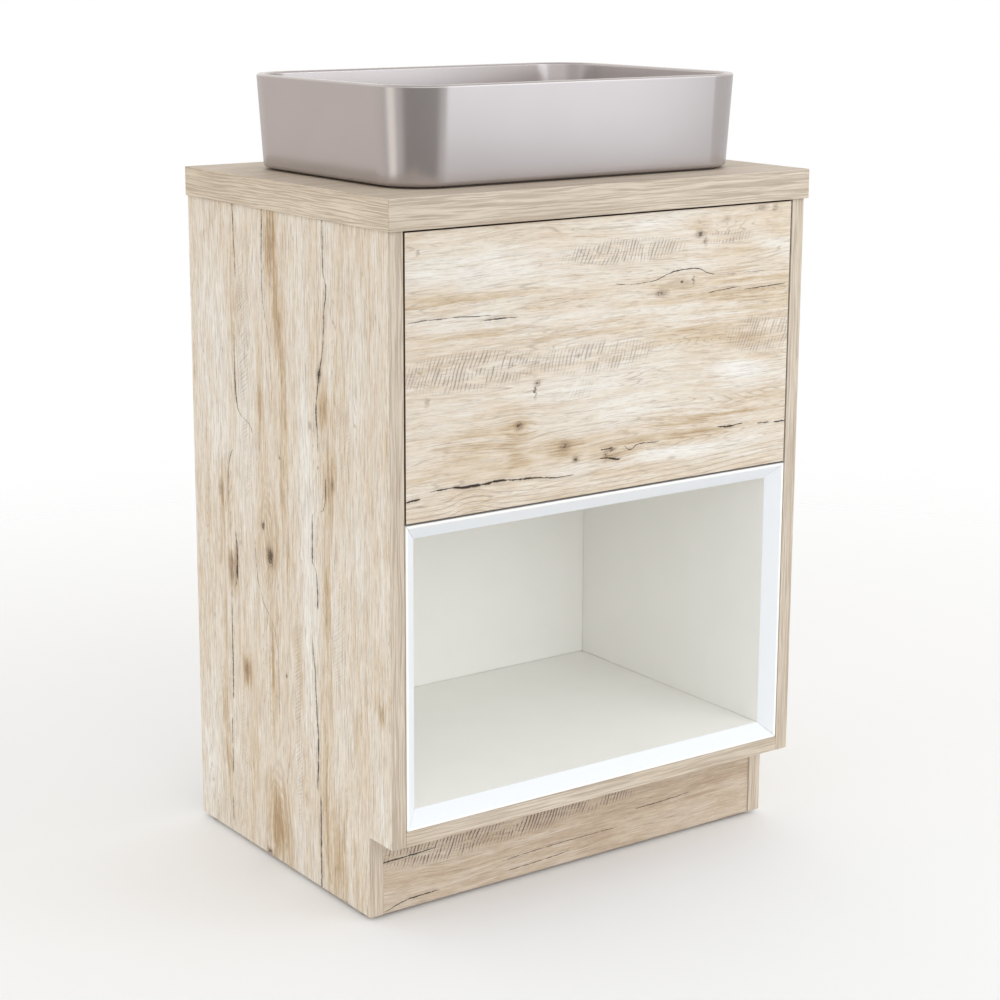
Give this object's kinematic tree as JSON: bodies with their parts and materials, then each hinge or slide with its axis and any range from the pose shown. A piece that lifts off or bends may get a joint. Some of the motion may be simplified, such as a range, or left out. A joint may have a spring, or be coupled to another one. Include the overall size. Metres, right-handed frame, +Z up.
{
  "type": "vessel sink on vanity",
  "caption": "Rounded rectangular vessel basin on a wood-look vanity with a push-to-open drawer over an open white niche.",
  "frame": {"origin": "on the floor, under the middle of the worktop's outline", "axes": "+Z up, the drawer and niche face -Y, +X to the user's right; the worktop's and side panels' rear edges stand against the wall at the +Y side"},
  "size_m": [0.6, 0.455, 0.948],
  "materials": {
    "oak_face": "matt wood-look laminate, pale rustic oak with cracks, knots and saw marks",
    "oak_edge": "matt wood-look edge band, straight fine grain",
    "white_foil": "satin white foil",
    "white_board": "white melamine-faced board",
    "basin_glaze": "matt taupe glaze",
    "chrome": "polished",
    "zinc_steel": "zinc plated sheet steel",
    "trap_plastic": "moulded white plastic",
    "grey_plastic": "moulded grey plastic",
    "latch_plastic": "moulded grey plastic",
    "rubber": "black rubber",
    "sealant": "neutral-cure silicone"
  },
  "bodies": {
    "root": {"worktop": "oak_face", "worktop_band_front": "oak_edge", "worktop_band_left": "oak_edge", "worktop_band_right": "oak_edge", "side_panel_left": "oak_face", "side_band_left": "oak_edge", "toe_band_left": "oak_edge", "side_panel_right": "oak_face", "side_band_right": "oak_edge", "toe_band_right": "oak_edge", "bottom_panel": "oak_face", "bottom_band": "oak_edge", "plinth_board": "oak_face", "top_rail_front": "white_board", "top_rail_back": "white_board", "bottom_rail_back": "white_board", "glide_front_left": "grey_plastic", "glide_front_right": "grey_plastic", "glide_back_left": "grey_plastic", "glide_back_right": "grey_plastic", "niche_side_left": "white_foil", "niche_side_right": "white_foil", "niche_floor": "white_foil", "niche_ceiling": "white_foil", "niche_back": "white_foil", "wall_bracket_left": "zinc_steel", "wall_bracket_right": "zinc_steel", "worktop_bracket_left": "zinc_steel", "worktop_bracket_right": "zinc_steel", "runner_cabinet_left": "zinc_steel", "runner_cabinet_right": "zinc_steel", "latch_housing": "latch_plastic", "basin_bowl": "basin_glaze", "basin_seal": "sealant", "waste_body": "chrome", "waste_washer": "rubber", "waste_backnut": "chrome", "trap_inlet_pipe": "trap_plastic", "trap_tail_nut": "trap_plastic", "trap_neck_nut": "trap_plastic", "trap_body": "trap_plastic", "trap_cup": "trap_plastic", "trap_outlet_nut": "trap_plastic", "trap_outlet_pipe": "trap_plastic"},
    "drawer": {"drawer_front": "oak_face", "drawer_floor": "white_board", "drawer_side_left": "white_board", "drawer_rear_left": "white_board", "cutout_side_left": "white_board", "drawer_side_right": "white_board", "drawer_rear_right": "white_board", "cutout_side_right": "white_board", "cutout_front": "white_board", "runner_drawer_left": "zinc_steel", "runner_drawer_right": "zinc_steel"},
    "runner_link_left": {"runner_middle_left": "zinc_steel"},
    "runner_link_right": {"runner_middle_right": "zinc_steel"},
    "latch_pin": {"latch_plunger": "latch_plastic"},
    "plug": {"waste_plug": "chrome"}
  },
  "joints": [
    {"name": "drawer_slide", "type": "slide", "parent": "root", "child": "drawer", "axis": [0, -1, 0], "range_m": [-0.003, 0.3]},
    {"name": "runner_left_slide", "type": "slide", "parent": "root", "child": "runner_link_left", "axis": [0, -1, 0], "range_m": [-0.0015, 0.15]},
    {"name": "runner_right_slide", "type": "slide", "parent": "root", "child": "runner_link_right", "axis": [0, -1, 0], "range_m": [-0.0015, 0.15]},
    {"name": "latch_press", "type": "slide", "parent": "root", "child": "latch_pin", "axis": [0, 1, 0], "range_m": [0, 0.003], "stiffness_N_per_m": 300, "springref_m": -0.004},
    {"name": "plug_lift", "type": "slide", "parent": "root", "child": "plug", "axis": [0, 0, 1], "range_m": [0, 0.008]}
  ],
  "couplings": [
    {"joint": "runner_left_slide", "follows": "drawer_slide", "ratio": 0.5},
    {"joint": "runner_right_slide", "follows": "drawer_slide", "ratio": 0.5}
  ]
}
